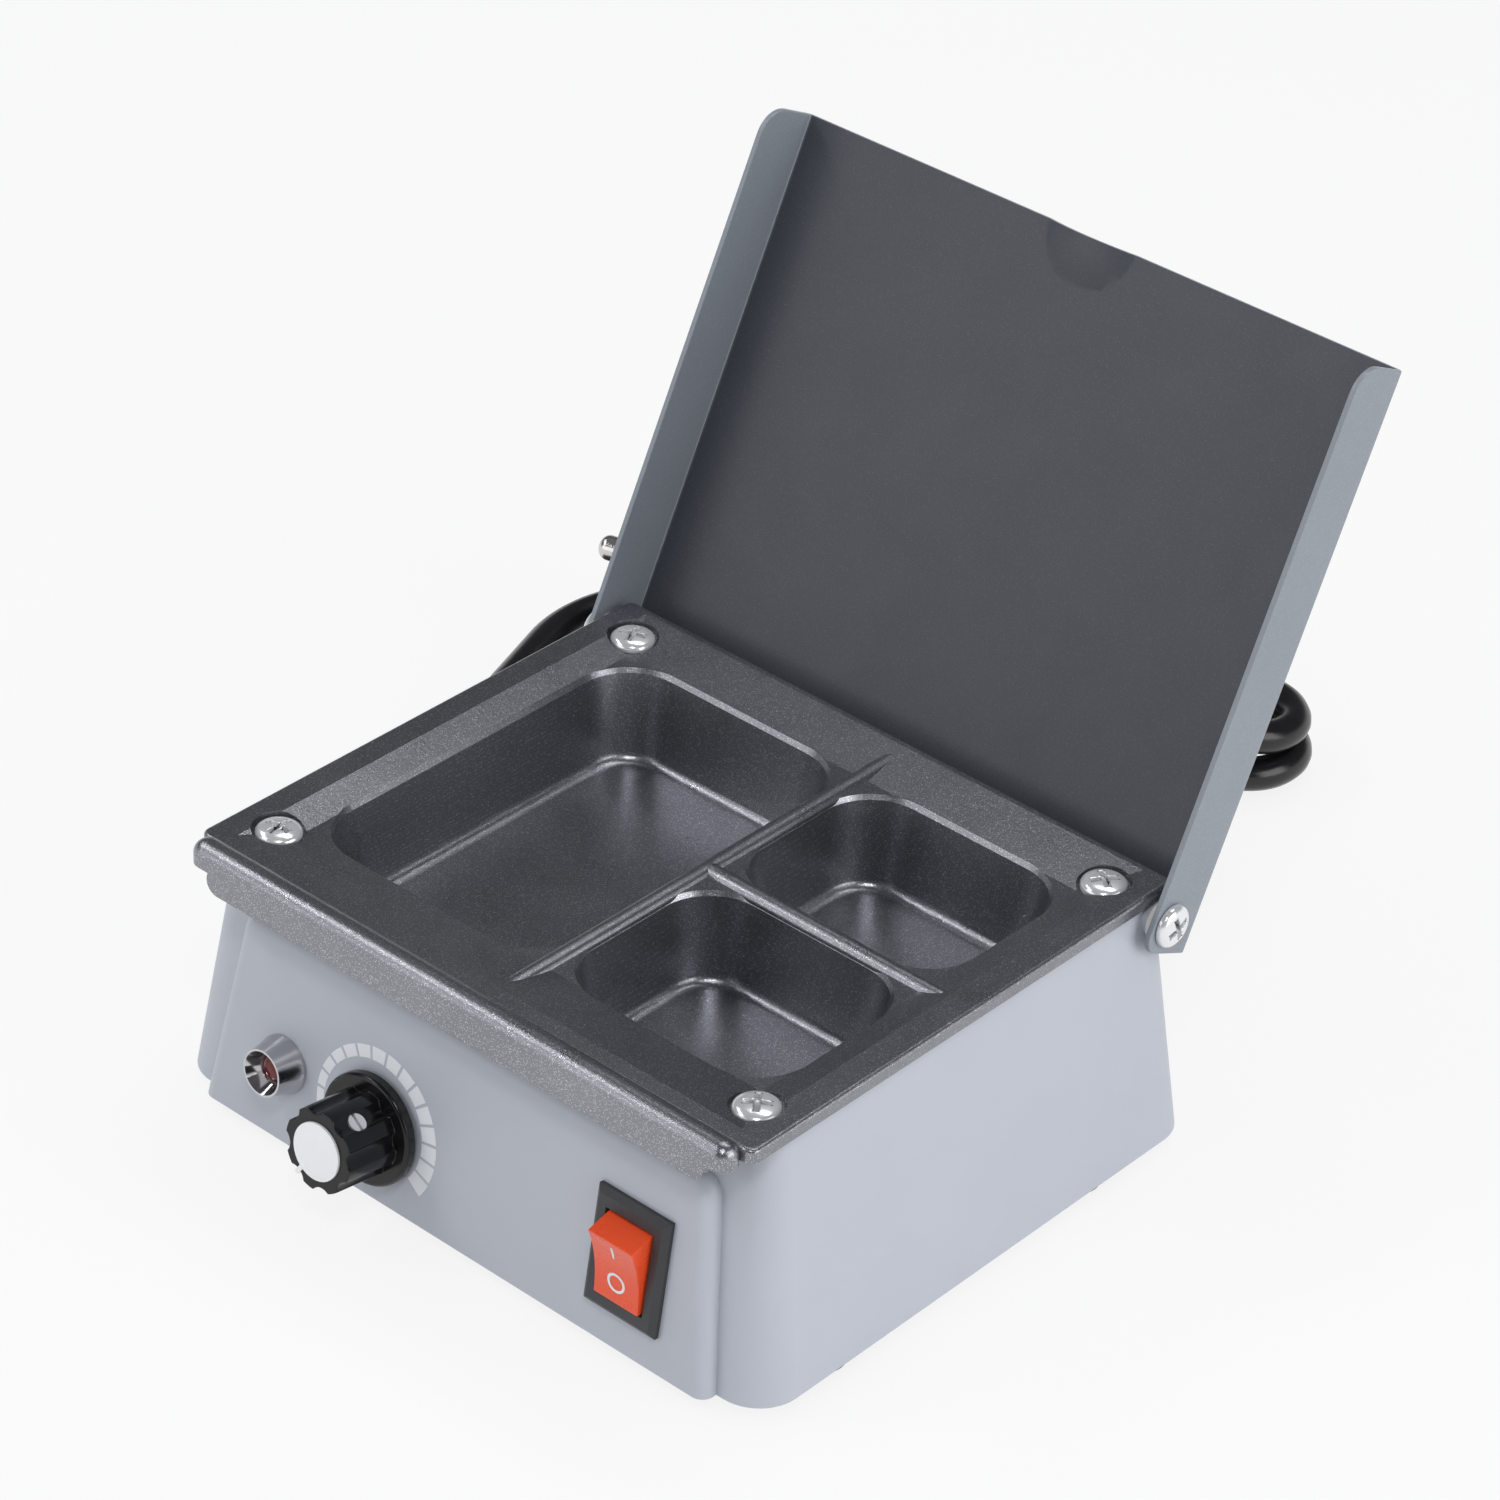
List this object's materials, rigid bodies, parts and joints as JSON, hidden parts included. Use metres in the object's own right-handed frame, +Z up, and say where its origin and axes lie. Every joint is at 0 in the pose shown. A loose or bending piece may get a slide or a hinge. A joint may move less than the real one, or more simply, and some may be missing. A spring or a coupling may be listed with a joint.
{
  "type": "dental wax heater",
  "caption": "Bench wax heater with a sloping painted housing, a cast tray with one large and two small wells, a folded hinged lid, a dial, a pilot lamp, a rocker switch and a mains cord.",
  "frame": {"origin": "on the standing plane, under the middle of the four tray screws", "axes": "+X to the right seen from the front, +Y to the back, +Z up; the front panel looks toward -Y"},
  "size_m": [0.1788, 0.2313, 0.1313],
  "materials": {
    "housing_paint": "satin",
    "tray_coating": "satin",
    "lid_paint": "satin",
    "screw_steel": "polished",
    "sheet_steel": "satin",
    "rubber_black": "matte",
    "nylon": "matte",
    "mica": "matte",
    "insulation_felt": "matte",
    "ceramic_white": "satin",
    "copper_tube": "satin",
    "brass_parts": "satin",
    "bakelite_dark": "satin",
    "knob_black": "gloss",
    "cap_silver": "satin",
    "lamp_chrome": "polished",
    "lens_red": "gloss",
    "switch_black": "satin",
    "rocker_orange": "gloss",
    "cord_black": "satin",
    "wire_white": "matte",
    "pin_nickel": "polished"
  },
  "bodies": {
    "base": {"housing": "housing_paint", "base_plate": "sheet_steel", "base_screws": "screw_steel", "rubber_feet": "rubber_black", "tray": "tray_coating", "tray_screws": "screw_steel", "pivot_washers": "nylon", "lid_pivot_screws": "screw_steel", "heater_plate": "mica", "heater_insulation": "insulation_felt", "heater_clamp_plate": "sheet_steel", "heater_nuts": "screw_steel", "thermal_cutout": "ceramic_white", "bulb_clip": "sheet_steel", "thermostat_body": "bakelite_dark", "thermostat_washer": "sheet_steel", "thermostat_nut": "brass_parts", "lamp_bezel": "lamp_chrome", "lamp_lens": "lens_red", "lamp_body": "switch_black", "lamp_nut": "brass_parts", "switch_frame": "switch_black", "switch_terminals": "brass_parts", "cord_gland": "cord_black", "power_cord": "cord_black", "cord_hank": "cord_black", "cord_tie": "bakelite_dark", "plug_cord": "cord_black", "plug_body": "cord_black", "plug_pins": "pin_nickel", "terminal_block": "ceramic_white", "inner_wires": "wire_white", "sensing_bulb": "copper_tube", "earth_screw": "brass_parts", "earth_ring": "brass_parts", "earth_nut": "brass_parts"},
    "lid": {"lid": "lid_paint"},
    "dial": {"knob": "knob_black", "knob_cap": "cap_silver", "knob_set_screw": "screw_steel", "thermostat_shaft": "brass_parts"},
    "rocker": {"switch_rocker": "rocker_orange"}
  },
  "joints": [
    {"name": "lid_hinge", "type": "hinge", "parent": "base", "child": "lid", "pos_m": [0, 0.0454, 0.0455], "axis": [1, 0, 0], "range_deg": [0, 115.5]},
    {"name": "dial_turn", "type": "hinge", "parent": "base", "child": "dial", "pos_m": [-0.017, -0.05359, 0.01604], "axis": [0, -0.9905, 0.1377], "range_deg": [-270, 0]},
    {"name": "rocker_tilt", "type": "hinge", "parent": "base", "child": "rocker", "pos_m": [0.0376, -0.05209, 0.01956], "axis": [1, 0, 0], "range_deg": [-20, 0]}
  ]
}
